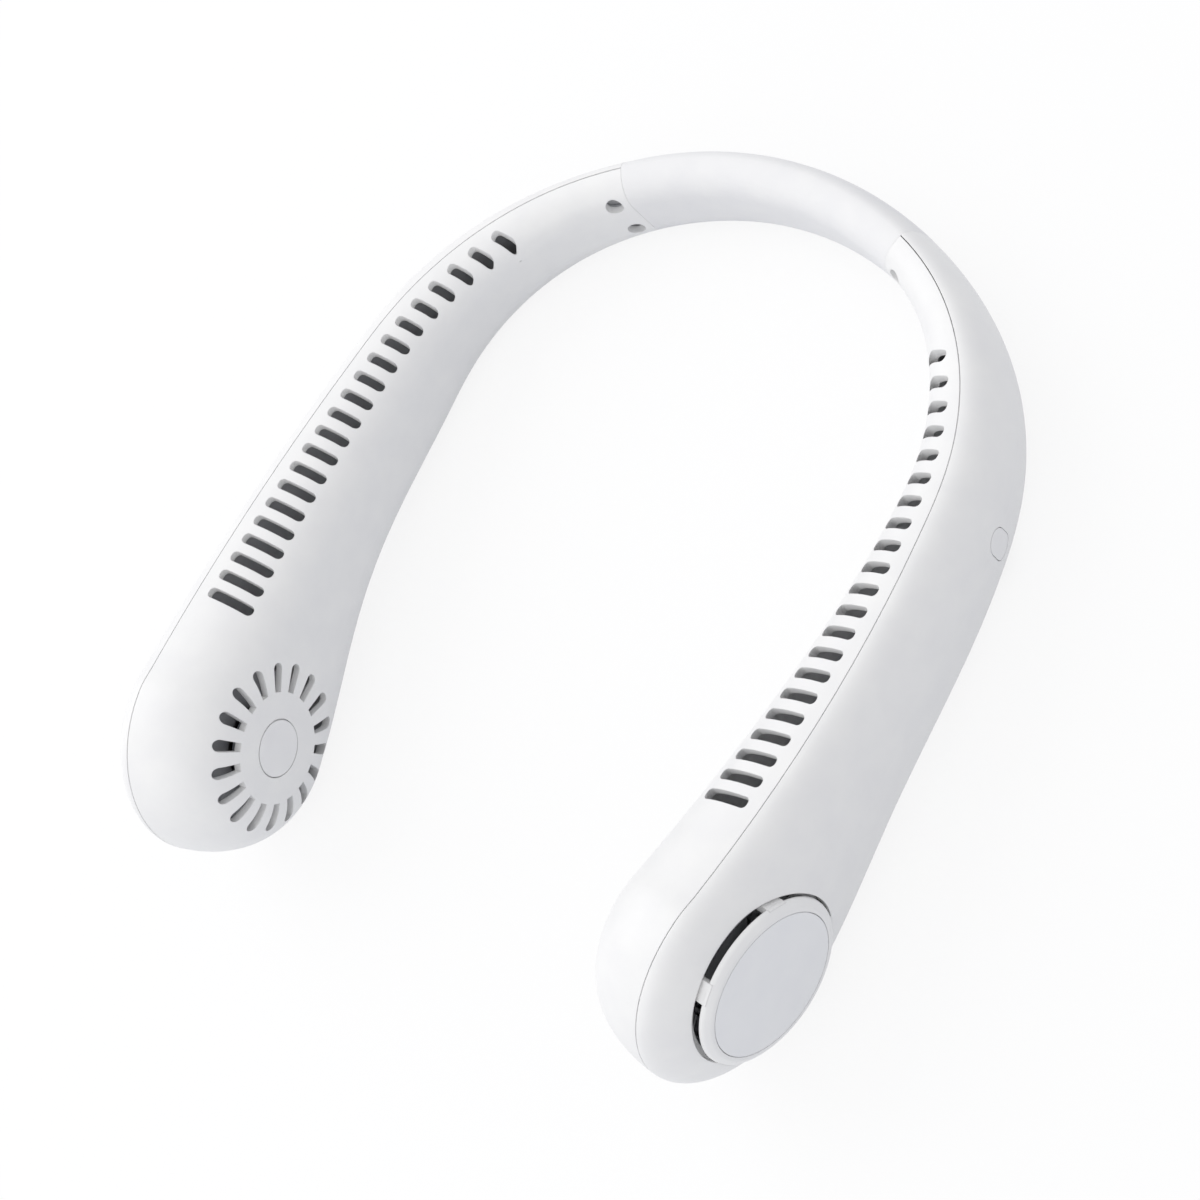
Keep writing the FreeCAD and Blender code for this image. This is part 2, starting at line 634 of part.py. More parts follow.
def band_screws():
    head = disc(size.screw_head_radius, screw_seat - size.screw_head_height, screw_seat)
    screw = head.fuse(disc(size.screw_radius, screw_seat, screw_tip))
    return Part.Compound(for_each(screw_frames(), screw))


wire_heights = (band_middle - size.wire_spread, band_middle + size.wire_spread)


def neck_band():
    """Soft hollow sleeve on the nape, turned about the neck's centre."""
    start = arm_reach + size.band_gap
    face = Part.Face([section(start, "whole", 0, 0), section(start, "whole", size.band_wall, 0)])
    face.validate()
    span = 2 * (size.band_half_angle - math.degrees(size.band_gap / size.band_bend_radius))
    return face.revolve(BAND_CENTRE, UP, span)


def band_wires():
    half = band_turn - (size.plug_tongue - size.wire_seat) / size.band_bend_radius
    return Part.Compound([
        arc_tube(BAND_CENTRE, size.band_bend_radius, size.wire_radius, height, -half, half)
        for height in wire_heights
    ])


def band_cable():
    return arc_tube(BAND_CENTRE, size.band_bend_radius - lead_out, size.lead_radius, size.lead_height,
                    -band_turn, band_turn)


# Heights along the fan axis and radii of the blower, counted from the seam plane outwards.

STACK = (
    ("pod_floor", "=dims.wall - dims.pod_inner_depth"),
    ("base_bottom", "=pod_floor + dims.boss_height"),
    ("base_top", "=base_bottom + dims.base_thickness"),
    ("rotor_bottom", "=base_top + dims.motor_head_height + dims.rotor_gap"),
    ("stator_top", "=rotor_bottom + dims.stator_height"),
    ("cup_ceiling", "=stator_top + dims.rotor_gap"),
    ("cup_top", "=cup_ceiling + dims.cup_wall"),
    ("hub_top", "=cup_top + dims.hub_plate"),
    ("web_top", "=rotor_bottom + dims.web_thickness"),
    ("blade_top", "=web_top + dims.blade_height"),
    ("shroud_top", "=blade_top + dims.shroud_thickness"),
    ("magnet_bore", "=dims.stator_radius + dims.air_gap"),
    ("magnet_radius", "=magnet_bore + dims.magnet_thickness"),
    ("cup_radius", "=magnet_radius + dims.cup_wall"),
    ("hub_radius", "=cup_radius + dims.hub_wall"),
    ("shroud_inner", "=dims.blade_outer - dims.shroud_width"),
    ("inlet_edge", "=dims.pod_outer_depth * sqrt(1 - (dims.inlet_radius / dims.pod_radius) ^ 2)"),
    ("rim_low", "=inlet_edge + dims.cap_air_gap"),
    ("ring_top", "=inlet_edge - dims.ring_drop"),
    ("ring_low", "=ring_top - dims.ring_height"),
    ("ring_radius", "=dims.inlet_radius - dims.ring_fit"),
    ("disc_seat", "=dims.cap_height - dims.disc_thickness"),
    ("recess_radius", "=dims.disc_radius + dims.trim_gap"),
    ("post_outer", "=dims.cap_radius - dims.trim_gap / 2"),
    ("button_outer", "=%.6f" % button_outer),
    ("button_underside", "=button_outer - dims.wall - dims.collar_clear - dims.collar_thickness"),
    ("board_face", "=dims.board_offset + dims.board_thickness"),
    ("plunger_top", "=button_underside - dims.button_travel - dims.press_gap - board_face"),
)
stack = doc.addObject("Spreadsheet::Sheet", "stack")
for row, (alias, formula) in enumerate(STACK, start=1):
    stack.set("A%d" % row, alias)
    stack.set("B%d" % row, formula)
    stack.setAlias("B%d" % row, alias)
doc.recompute()


# Document objects. Each builder returns one sub-part.

def new_body(label):
    body = doc.addObject("PartDesign::Body", label)
    body.Label = label
    return body


def origin_feature(body, role):
    return next(feature for feature in body.Origin.OriginFeatures if feature.Role == role)


def outline(body, plane, corners, height=None):
    """Sketch of straight lines whose corners are bound to the sheets."""
    sketch = body.newObject("Sketcher::SketchObject", body.Name + "_outline")
    sketch.AttachmentSupport = [(origin_feature(body, plane), "")]
    sketch.MapMode = "FlatFace"
    if height:
        sketch.setExpression("AttachmentOffset.Base.z", height)
    spots = [[float(body.evalExpression(text)) for text in corner] for corner in corners]
    points = [Vector(across, up, 0) for across, up in spots]
    for here, there in zip(points, points[1:] + points[:1]):
        sketch.addGeometry(Part.LineSegment(here, there), False)
    for index, (corner, spot) in enumerate(zip(corners, spots)):
        before = (index or len(corners)) - 1
        sketch.addConstraint(Sketcher.Constraint("Coincident", before, 2, index, 1))
        for kind, text, value, axis in zip(("DistanceX", "DistanceY"), corner, spot, (-2, -1)):
            if text == "0":
                sketch.addConstraint(Sketcher.Constraint("PointOnObject", index, 1, axis))
            else:
                bound = sketch.addConstraint(Sketcher.Constraint(kind, -1, 1, index, 1, value))
                sketch.setExpression("Constraints[%d]" % bound, text)
    return sketch


def turn(body, corners):
    """Solid of revolution about the body's Z axis, from (radius, height) corners."""
    sketch = outline(body, "XZ_Plane", corners)
    feature = body.newObject("PartDesign::Revolution", body.Name + "_turned")
    feature.Profile = sketch
    feature.ReferenceAxis = (sketch, ["V_Axis"])
    feature.Angle = 360
    doc.recompute()
    return feature


def pad(body, corners, height, length):
    feature = body.newObject("PartDesign::Pad", body.Name + "_pad")
    feature.Profile = outline(body, "XY_Plane", corners, height)
    feature.setExpression("Length", length)
    doc.recompute()
    return feature


def repeat_round(body, original, count):
    pattern = body.newObject("PartDesign::PolarPattern", body.Name + "_round")
    pattern.Originals = [original]
    pattern.Axis = (origin_feature(body, "Z_Axis"), [""])
    pattern.Angle = 360
    pattern.setExpression("Occurrences", count)
    body.Tip = pattern
    doc.recompute()
    return pattern


def round_circles(body, feature, circles, radius):
    """Fillet on the circular edges found at the given (radius, height) pairs."""
    wanted = [[float(body.evalExpression(text)) for text in circle] for circle in circles]
    names = []
    for number, edge in enumerate(feature.Shape.Edges, start=1):
        if isinstance(edge.Curve, Part.Circle):
            spot = (edge.Curve.Radius, edge.Curve.Center.z)
            if any(math.dist(spot, want) < NEAR for want in wanted):
                names.append("Edge%d" % number)
    fillet = body.newObject("PartDesign::Fillet", body.Name + "_rounding")
    fillet.Base = (feature, names)
    fillet.setExpression("Radius", radius)
    doc.recompute()
    return fillet


def ring(label, inner, outer, low, high):
    body = new_body(label)
    turn(body, [(inner, low), (outer, low), (outer, high), (inner, high)])
    return body


def polar(radius, angle):
    return "%s * cos(%s)" % (radius, angle), "%s * sin(%s)" % (radius, angle)


def rectangle(length, width):
    return [
        ("-%s / 2" % length, "-%s / 2" % width), ("%s / 2" % length, "-%s / 2" % width),
        ("%s / 2" % length, "%s / 2" % width), ("-%s / 2" % length, "%s / 2" % width),
    ]


def inlet_cap(label):
    body = new_body(label)
    under = "stack.disc_seat - dims.cap_skin"
    dish = turn(body, [
        ("0", "stack.disc_seat"), ("stack.recess_radius", "stack.disc_seat"),
        ("stack.recess_radius", "dims.cap_height"),
        ("stack.recess_radius + dims.cap_land", "dims.cap_height"),
        ("dims.cap_radius", "stack.rim_low + dims.cap_edge"), ("dims.cap_radius", "stack.rim_low"),
        ("dims.cap_radius - dims.cap_skin", "stack.rim_low"), ("dims.disc_radius", under), ("0", under),
    ])
    round_circles(body, dish, [
        ("stack.recess_radius + dims.cap_land", "dims.cap_height"),
        ("dims.cap_radius", "stack.rim_low + dims.cap_edge"),
    ], "dims.cap_round")
    inner, half = "stack.post_outer - dims.post_depth", "dims.post_width / 2"
    post = pad(body, [
        (inner, "-" + half), ("stack.post_outer", "-" + half), ("stack.post_outer", half), (inner, half),
    ], "stack.ring_low", "stack.rim_low + dims.cap_edge - stack.ring_low")
    repeat_round(body, post, "dims.post_count")
    bore = "stack.ring_radius - dims.ring_width"
    turn(body, [
        (bore, "stack.ring_low"), ("stack.ring_radius", "stack.ring_low"),
        ("stack.ring_radius", "stack.ring_top"), (bore, "stack.ring_top"),
    ])
    return body


def cap_disc(label):
    body = new_body(label)
    turn(body, [("0", "stack.disc_seat"), ("dims.disc_radius", "stack.disc_seat"),
                ("dims.disc_radius", "dims.cap_height"), ("0", "dims.cap_height")])
    return body


def grille_badge(label):
    body = new_body(label)
    radius, low = "dims.badge_radius - dims.badge_gap", "-dims.pod_inner_depth"
    high = "dims.badge_thickness - dims.pod_inner_depth"
    turn(body, [("0", low), (radius, low), (radius, high), ("0", high)])
    return body


def impeller(label):
    body = new_body(label)
    turn(body, [
        ("0", "stack.cup_top"), ("stack.cup_radius", "stack.cup_top"),
        ("stack.cup_radius", "stack.rotor_bottom"), ("dims.blade_outer", "stack.rotor_bottom"),
        ("dims.blade_outer", "stack.web_top"), ("stack.hub_radius", "stack.web_top"),
        ("stack.hub_radius", "stack.hub_top"), ("0", "stack.hub_top"),
    ])
    root = "(dims.blade_thickness / dims.blade_inner * 90 / pi)"
    tip = "(dims.blade_thickness / dims.blade_outer * 90 / pi)"
    blade = pad(body, [
        polar("dims.blade_inner", "-" + root), polar("dims.blade_outer", "(dims.blade_sweep - %s)" % tip),
        polar("dims.blade_outer", "(dims.blade_sweep + %s)" % tip), polar("dims.blade_inner", root),
    ], "stack.web_top", "dims.blade_height")
    repeat_round(body, blade, "dims.blade_count")
    turn(body, [
        ("stack.shroud_inner", "stack.blade_top"), ("dims.blade_outer", "stack.blade_top"),
        ("dims.blade_outer", "stack.shroud_top"), ("stack.shroud_inner", "stack.shroud_top"),
    ])
    return body


def rotor_cup(label):
    body = new_body(label)
    turn(body, [
        ("dims.shaft_radius", "stack.cup_ceiling"), ("stack.magnet_radius", "stack.cup_ceiling"),
        ("stack.magnet_radius", "stack.rotor_bottom"), ("stack.cup_radius", "stack.rotor_bottom"),
        ("stack.cup_radius", "stack.cup_top"), ("dims.shaft_radius", "stack.cup_top"),
    ])
    return body


def motor_base(label):
    body = new_body(label)
    turn(body, [
        ("0", "stack.base_bottom"), ("dims.base_radius", "stack.base_bottom"),
        ("dims.base_radius", "stack.base_top"), ("dims.tube_radius", "stack.base_top"),
        ("dims.tube_radius", "stack.stator_top"), ("dims.bearing_radius", "stack.stator_top"),
        ("dims.bearing_radius", "stack.base_top"), ("0", "stack.base_top"),
    ])
    sketch = body.newObject("Sketcher::SketchObject", body.Name + "_hole")
    sketch.AttachmentSupport = [(origin_feature(body, "XY_Plane"), "")]
    sketch.MapMode = "FlatFace"
    sketch.addGeometry(Part.Circle(Vector(0, size.motor_screw_circle, 0), UP, size.motor_screw_radius), False)
    sketch.addConstraint(Sketcher.Constraint("PointOnObject", 0, 3, -2))
    across = sketch.addConstraint(Sketcher.Constraint("DistanceY", -1, 1, 0, 3, size.motor_screw_circle))
    sketch.setExpression("Constraints[%d]" % across, "dims.motor_screw_circle")
    bore = sketch.addConstraint(Sketcher.Constraint("Radius", 0, size.motor_screw_radius))
    sketch.setExpression("Constraints[%d]" % bore, "dims.motor_screw_radius + dims.screw_fit")
    hole = body.newObject("PartDesign::Pocket", body.Name + "_pocket")
    hole.Profile = sketch
    hole.Type = "ThroughAll"
    hole.Midplane = True
    doc.recompute()
    repeat_round(body, hole, "dims.motor_screw_count")
    return body


def motor_shaft(label):
    shaft = doc.addObject("Part::Cylinder", label)
    shaft.setExpression("Radius", "dims.shaft_radius")
    shaft.setExpression("Height", "stack.cup_top - stack.base_top - dims.rotor_gap / 2")
    return shaft


def motor_screws(label):
    """Three small screws through the base plate into the boss, as one group."""
    screws = []
    for number, place in enumerate(motor_screw_places):
        name = "%s_%d" % (label, number)
        head = doc.addObject("Part::Cylinder", name + "_head")
        head.setExpression("Radius", "dims.motor_head_radius")
        head.setExpression("Height", "dims.motor_head_height")
        head.setExpression("Placement.Base.z", "stack.base_top")
        thread = doc.addObject("Part::Cylinder", name + "_thread")
        thread.setExpression("Radius", "dims.motor_screw_radius")
        thread.setExpression("Height", "dims.motor_screw_grip + dims.base_thickness")
        thread.setExpression("Placement.Base.z", "stack.base_bottom - dims.motor_screw_grip")
        screw = doc.addObject("Part::Fuse", name)
        screw.Base, screw.Tool = head, thread
        screw.Placement = place
        screws.append(screw)
    group = doc.addObject("Part::Compound", label)
    group.Links = screws
    return group


def battery(label):
    body = new_body(label)
    cell = pad(body, rectangle("dims.battery_length", "dims.battery_height"), None, "dims.battery_thickness")
    rounding = body.newObject("PartDesign::Fillet", label + "_rounding")
    rounding.Base = (cell, ["Edge%d" % (index + 1) for index in range(len(cell.Shape.Edges))])
    rounding.setExpression("Radius", "dims.battery_round")
    doc.recompute()
    return body


def circuit_board(label):
    body = new_body(label)
    pad(body, rectangle("dims.board_length", "dims.board_height"), None, "dims.board_thickness")
    return body


def push_switch(label):
    housing = doc.addObject("Part::Box", label + "_housing")
    housing.setExpression("Length", "dims.switch_side")
    housing.setExpression("Width", "dims.switch_side")
    housing.setExpression("Height", "dims.switch_height")
    housing.setExpression("Placement.Base.x", "-dims.switch_side / 2")
    housing.setExpression("Placement.Base.y", "-dims.switch_side / 2")
    plunger = doc.addObject("Part::Cylinder", label + "_plunger")
    plunger.setExpression("Radius", "dims.plunger_radius")
    plunger.setExpression("Height", "stack.plunger_top")
    switch = doc.addObject("Part::Fuse", label)
    switch.Base, switch.Tool = housing, plunger
    return switch


# The assembly. Every node keeps the place that it takes on the part.

nodes = []


def add(node, place):
    nodes.append((node, place))


def add_shape(label, shape):
    node = doc.addObject("Part::Feature", label)
    node.Label = label
    node.Shape = shape
    add(node, node.Placement)


def add_pair(name, shape, left_cutters=()):
    """The same form in both arms, mirrored, with extra cuts in the left one."""
    add_shape("left_" + name, shape.cut(left_cutters) if left_cutters else shape)
    add_shape("right_" + name, shape.mirror(Vector(), Vector(1, 0, 0)))


arm_space = arm_form("whole", size.wall, 0, OVERRUN)
lining_space = arm_form("whole", size.wall + size.lining_fit, 0, OVERRUN)

add_pair("inner_shell", inner_shell())
add_pair("outer_shell", outer_shell(), button_side_cutters())
add_pair("fan_scroll", fan_scroll())
add_pair("duct_plate", duct_plate())
add_pair("motor_lead", motor_lead())
add_pair("band_plug", band_plug())
add_pair("band_screws", band_screws())
add_shape("neck_band", neck_band())
add_shape("band_core_wires", band_wires())
add_shape("band_cable", band_cable())
add_shape("power_button", power_button())
add_shape("charging_socket", charging_socket())

cell_out = size.lining_fit - size.plate_offset
cell_profile = profile(size.battery_position)
cell_height = (cell_profile[0] + cell_profile[1]) / 2
for side_name, side in (("left", 1), ("right", -1)):
    fan = arm_frame(0, 0, size.pod_radius, side)
    inlet = inlet_frame(side)
    post_angle = 180 - size.post_angle if side > 0 else size.post_angle
    add(inlet_cap(side_name + "_inlet_cap"), inlet.multiply(Placement(Vector(), Rotation(UP, post_angle))))
    add(cap_disc(side_name + "_cap_disc"), inlet)
    add(grille_badge(side_name + "_grille_badge"), fan)
    add(impeller(side_name + "_impeller"), fan)
    add(rotor_cup(side_name + "_rotor_cup"), fan)
    add(ring(side_name + "_rotor_magnet", "stack.magnet_bore", "stack.magnet_radius",
             "stack.rotor_bottom", "stack.stator_top"), fan)
    raised = Placement(UP * (float(stack.get("base_top")) + size.rotor_gap / 2), Rotation())
    add(motor_shaft(side_name + "_motor_shaft"), fan.multiply(raised))
    add(motor_base(side_name + "_motor_base"), fan)
    add(ring(side_name + "_motor_stator", "dims.tube_radius", "dims.stator_radius",
             "stack.rotor_bottom", "stack.stator_top"), fan)
    add(ring(side_name + "_motor_bearing", "dims.shaft_radius + dims.shaft_clearance", "dims.bearing_radius",
             "stack.base_top", "stack.stator_top"), fan)
    add(motor_screws(side_name + "_motor_screws"), fan)
    cell_place = arm_frame(size.battery_position, cell_out, cell_height, side)
    add(battery(side_name + "_battery"), cell_place)

board_place = arm_frame(size.button_position, size.board_offset, size.button_height)
add(circuit_board("circuit_board"), board_place)
add(push_switch("push_switch"), board_place.multiply(Placement(UP * size.board_thickness, Rotation())))

for node, place in nodes:
    node.Placement = place
doc.recompute()

reach = BoundBox()
for node, place in nodes:
    reach.add(node.Shape.optimalBoundingBox())
centred = Placement(Vector(-reach.Center.x, -reach.Center.y, -reach.ZMin), Rotation())
for node, place in nodes:
    node.Placement = centred.multiply(place)
doc.recompute()

for item in doc.Objects:
    if "Invalid" in item.State or "Error" in item.State:
        raise RuntimeError("%s did not build" % item.Label)
os.makedirs("parts", exist_ok=True)
for node, place in nodes:
    if node.Shape.isNull() or not node.Shape.isValid():
        raise RuntimeError("%s is not a valid solid" % node.Label)
    node.Shape.exportStep("parts/%s.step" % node.Label)
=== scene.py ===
import json
import math

import bmesh
import bpy
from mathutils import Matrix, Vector


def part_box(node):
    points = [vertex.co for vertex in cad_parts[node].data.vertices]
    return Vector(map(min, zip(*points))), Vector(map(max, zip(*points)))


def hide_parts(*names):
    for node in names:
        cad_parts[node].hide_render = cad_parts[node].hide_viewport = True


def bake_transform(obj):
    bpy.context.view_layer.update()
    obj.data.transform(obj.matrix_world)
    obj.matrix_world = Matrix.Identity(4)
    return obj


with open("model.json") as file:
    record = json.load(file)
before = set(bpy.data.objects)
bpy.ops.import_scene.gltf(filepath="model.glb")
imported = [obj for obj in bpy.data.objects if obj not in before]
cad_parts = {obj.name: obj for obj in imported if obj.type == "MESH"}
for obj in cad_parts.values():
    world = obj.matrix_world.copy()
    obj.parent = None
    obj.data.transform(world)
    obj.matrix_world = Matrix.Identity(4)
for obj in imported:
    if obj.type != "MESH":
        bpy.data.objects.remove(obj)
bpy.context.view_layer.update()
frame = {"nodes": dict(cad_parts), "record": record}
scene = bpy.context.scene
MM = 0.001


def srgb(code):
    """Linear colour of an sRGB hex code."""
    channels = [int(code[index:index + 2], 16) / 255 for index in (0, 2, 4)]
    return [c / 12.92 if c <= 0.04045 else ((c + 0.055) / 1.055) ** 2.4 for c in channels] + [1.0]


def add_node(tree, kind, settings=None, **inputs):
    """A node with its settings; an input is a value or the socket it is linked from."""
    node = tree.nodes.new(kind)
    for name, value in (settings or {}).items():
        setattr(node, name, value)
    for name, value in inputs.items():
        socket = node.inputs[name.replace("_", " ")]
        if isinstance(value, bpy.types.NodeSocket):
            tree.links.new(value, socket)
        else:
            socket.default_value = value
    return node


# Finishes. Pattern sizes are in millimetres.

def new_finish(name, ior, metallic):
    """An empty finish with its shader and the piece's own coordinates."""
    made = bpy.data.materials.new(name)
    made.use_nodes = True
    tree = made.node_tree
    shader = tree.nodes["Principled BSDF"]
    shader.inputs["IOR"].default_value = ior
    shader.inputs["Metallic"].default_value = metallic
    return made, tree, shader, add_node(tree, "ShaderNodeTexCoord").outputs["Object"]


TONE_RANGE = (0.3, 0.7)   # the values that a noise pattern mostly keeps to


def two_tone(tree, shader, pattern, dark, light, gloss):
    """Colour and roughness that drift together with a pattern."""
    ramp = add_node(tree, "ShaderNodeValToRGB", Fac=pattern)
    first, last = ramp.color_ramp.elements
    first.position, last.position = TONE_RANGE
    first.color, last.color = srgb(dark), srgb(light)
    tree.links.new(ramp.outputs["Color"], shader.inputs["Base Color"])
    rough = add_node(tree, "ShaderNodeMapRange", Value=pattern, To_Min=gloss[0], To_Max=gloss[1])
    tree.links.new(rough.outputs["Result"], shader.inputs["Roughness"])


FLOW_MARKS = 9.0          # width of the faint cloudiness that the melt leaves as it fills the mould
SHELL_EDGE = 0.3          # how far the moulded edges are broken


def fine_skin(name, dark, light, gloss, grain, relief, ior=1.53, edge=0.0):
    """Body colour right through, under the even fine grain that a mould or a press leaves.
    A real grain is near 0.05 mm; it is drawn ten times as coarse, so that it shows at all."""
    made, tree, shader, place = new_finish(name, ior, 0.0)
    drift = add_node(tree, "ShaderNodeTexNoise", Vector=place, Scale=1 / (FLOW_MARKS * MM), Detail=3.0)
    two_tone(tree, shader, drift.outputs["Fac"], dark, light, gloss)
    skin = add_node(tree, "ShaderNodeTexNoise", Vector=place, Scale=1 / (grain * MM), Detail=2.0)
    bump = add_node(tree, "ShaderNodeBump", Height=skin.outputs["Fac"], Strength=relief,
                    Distance=grain * MM / 5)
    if edge:
        broken = add_node(tree, "ShaderNodeBevel", {"samples": 6}, Radius=edge * MM)
        tree.links.new(broken.outputs["Normal"], bump.inputs["Normal"])
    tree.links.new(bump.outputs["Normal"], shader.inputs["Normal"])
    return made


def metal(name, dark, light, gloss, grain, stretch, relief):
    """Stamped or turned metal: fine scratches that run one way and draw the highlight out."""
    made, tree, shader, place = new_finish(name, 1.5, 1.0)
    lay = add_node(tree, "ShaderNodeMapping", Vector=place, Scale=(1, stretch, 1))
    scratch = add_node(tree, "ShaderNodeTexNoise", Vector=lay.outputs["Vector"],
                       Scale=1 / (grain * MM), Detail=4.0)
    two_tone(tree, shader, scratch.outputs["Fac"], dark, light, gloss)
    bump = add_node(tree, "ShaderNodeBump", Height=scratch.outputs["Fac"], Strength=relief,
                    Distance=grain * MM / 6)
    tree.links.new(bump.outputs["Normal"], shader.inputs["Normal"])
    return made


WINDING_WIRE = 0.4        # diameter of the motor's copper wire


def copper_winding(name):
    """Enamelled copper wire laid side by side, with a painted highlight along every turn and painted shade,
    brown, in the grooves between them.
    """
    made, tree, shader, place = new_finish(name, 1.5, 0.7)
    wave_scale = math.pi / (10 * WINDING_WIRE * MM)
    turns = add_node(tree, "ShaderNodeTexWave", {"bands_direction": "X"}, Vector=place,
                     Scale=wave_scale, Distortion=0.6, Detail=2.0)
    # painted highlight and shade: the colour runs from dark brown in the grooves to bright copper on the
    # crests of the turns
    two_tone(tree, shader, turns.outputs["Fac"], "7E4422", "C07A44", (0.3, 0.42))
    bump = add_node(tree, "ShaderNodeBump", Height=turns.outputs["Fac"], Strength=0.6,
                    Distance=WINDING_WIRE / 2 * MM)
    tree.links.new(bump.outputs["Normal"], shader.inputs["Normal"])
    return made


FOIL_CREASE = 5.0         # distance from crease to crease


def pouch_foil(name):
    """Aluminium pouch of a lithium cell: dull silver with a soft crinkle, with painted shade in the crinkle's
    hollows and a painted highlight on its ridges.
    """
    made, tree, shader, place = new_finish(name, 1.5, 0.8)
    crinkle_with_painted_shade = add_node(tree, "ShaderNodeTexVoronoi", {"feature": "SMOOTH_F1"}, Vector=place,
                       Scale=1 / (FOIL_CREASE * MM))
    # painted shade and highlight: the colour is darker in the hollows of the crinkle and paler on its ridges
    two_tone(tree, shader, crinkle_with_painted_shade.outputs["Distance"], "9DA0A6", "C3C6CB", (0.34, 0.46))
    bump = add_node(tree, "ShaderNodeBump", Height=crinkle_with_painted_shade.outputs["Distance"], Strength=0.3,
                    Distance=0.06 * FOIL_CREASE * MM)
    tree.links.new(bump.outputs["Normal"], shader.inputs["Normal"])
    return made


TRACK_SPACING = 3.0       # distance between the copper tracks of the board


def solder_mask(name):
    """Circuit board: green lacquer over copper tracks, which show as paler, slightly raised lines."""
    made, tree, shader, place = new_finish(name, 1.5, 0.0)
    tracks = add_node(tree, "ShaderNodeTexBrick", {"offset": 0.3, "squash": 1.4}, Vector=place,
                      Scale=1 / (TRACK_SPACING * MM), Mortar_Size=0.06, Mortar_Smooth=0.4)
    two_tone(tree, shader, tracks.outputs["Fac"], "0F4527", "1F6B42", (0.28, 0.36))
    bump = add_node(tree, "ShaderNodeBump", Height=tracks.outputs["Fac"], Strength=0.4, Distance=0.05 * MM)
    tree.links.new(bump.outputs["Normal"], shader.inputs["Normal"])
    return made


finishes = {
    # ABS moulded in a lightly eroded steel tool: a clean white with broad soft highlights
    "white_shell": fine_skin("white_abs", "EFEFEF", "F3F3F2", (0.36, 0.46), 0.5, 0.06, edge=SHELL_EDGE),
    # the same ABS with a trace of grey: the cap's disc stays a shade cooler than its rim
    "grey_trim": fine_skin("pale_grey_abs", "EEEFF1", "F1F2F3", (0.36, 0.44), 0.5, 0.06, edge=SHELL_EDGE),
    # ABS from a smoother tool: the inlay and the button are a touch glossier than the shell
    "white_trim": fine_skin("white_trim_abs", "EDEDEE", "F1F1F1", (0.32, 0.4), 0.5, 0.05, edge=SHELL_EDGE),
    # silicone moulded in a blasted tool: dull and soft, with no sharp highlight
    "soft_band": fine_skin("white_silicone", "EDEDEE", "F1F1F1", (0.52, 0.62), 0.6, 0.12, 1.41),
    # filled polypropylene: a waxy pale grey, which the shade inside the arms turns dark
    "inner_plastic": fine_skin("grey_polypropylene", "BABBBF", "C4C5C9", (0.45, 0.58), 0.5, 0.2, 1.49),
    # glass-filled nylon: black and slightly mottled by its fibres
    "switch_plastic": fine_skin("black_nylon", "202022", "2A2A2C", (0.42, 0.52), 0.4, 0.2),
    # extruded vinyl: black with a soft, greasy sheen
    "cable_sheath": fine_skin("black_vinyl", "1C1C1E", "262628", (0.45, 0.6), 0.5, 0.3),
    # pressed and sintered ferrite: charcoal, matt and a little gritty
    "ferrite": fine_skin("sintered_ferrite", "28282A", "38383A", (0.55, 0.7), 0.3, 0.5, 2.0),
    # nickel-plated steel, turned or stamped: warm silver with fine lines
    "plated_steel": metal("nickel_plated_steel", "A4A5A8", "BCBDC0", (0.24, 0.36), 0.4, 0.1, 0.2),
    # stamped aluminium sheet: paler and duller than the nickel
    "base_plate": metal("stamped_aluminium", "AEB0B4", "C4C6CA", (0.32, 0.45), 0.5, 0.2, 0.3),
    # sintered bronze: brown gold, dulled by its pores
    "bearing_bronze": metal("sintered_bronze", "80623A", "9C7C48", (0.42, 0.55), 0.3, 1.0, 0.4),
    "winding": copper_winding("enamelled_copper"),
    "cell_foil": pouch_foil("aluminium_pouch"),
    "board_green": solder_mask("green_solder_mask"),
}
slots = {entry["node"]: entry["material_slot"] for entry in frame["record"]["subparts"]}
for name, node in frame["nodes"].items():
    node.data.materials.clear()
    node.data.materials.append(finishes[slots[name]])


# Soft band with its wires and cable, each in two halves, left and right. Millimetres and degrees.

BEND_RADIUS = 102.0       # seam line of the band about the neck's centre
BAND_HALF_ANGLE = 25.9    # middle of the band to the end of an arm
END_GAP = 0.02            # sleeve to the arm, which it all but touches
BAND_HEIGHT = 26.0
INNER_DEPTH = 8.4
OUTER_DEPTH = 5.0
FLAT_SHARE = 0.41         # flat share of the face that touches the neck
INNER_FULLNESS = 0.865
ELLIPSE = math.sqrt(0.5)
SLEEVE_WALL = 2.4
END_ROUND = 0.05          # broken edge at the sleeve's end
TONGUE = 12.0             # rigid plug inside the sleeve's end
WIRE_RADIUS = 0.8
WIRE_SPREAD = 7.0
WIRE_SEAT = 7.0           # length of wire held in the plug
CABLE_RADIUS = 1.1
CABLE_HEIGHT = 14.2
CABLE_SETBACK = 2.75      # seam line to the cable
ARC_STEPS = 48            # along a half of the band
CORNER_STEPS = 10         # along a quarter turn of the sleeve's outline
BAR_SIDES = 18            # round a wire or the cable
SHARP_ANGLE = 40.0        # edges that turn more than this aren't smoothed over

band_low, band_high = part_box("neck_band")
neck_centre = Vector((0, band_high[1] - (BEND_RADIUS + OUTER_DEPTH) * MM, band_low[2]))


def on_band(out, height, angle=0.0):
    """Point of the band at a distance out from the seam line, at an angle from the band's middle."""
    turn, reach = math.radians(angle), (BEND_RADIUS + out) * MM
    return neck_centre + Vector((math.sin(turn) * reach, math.cos(turn) * reach, height * MM))


def degrees_of(length):
    return math.degrees(length / BEND_RADIUS)


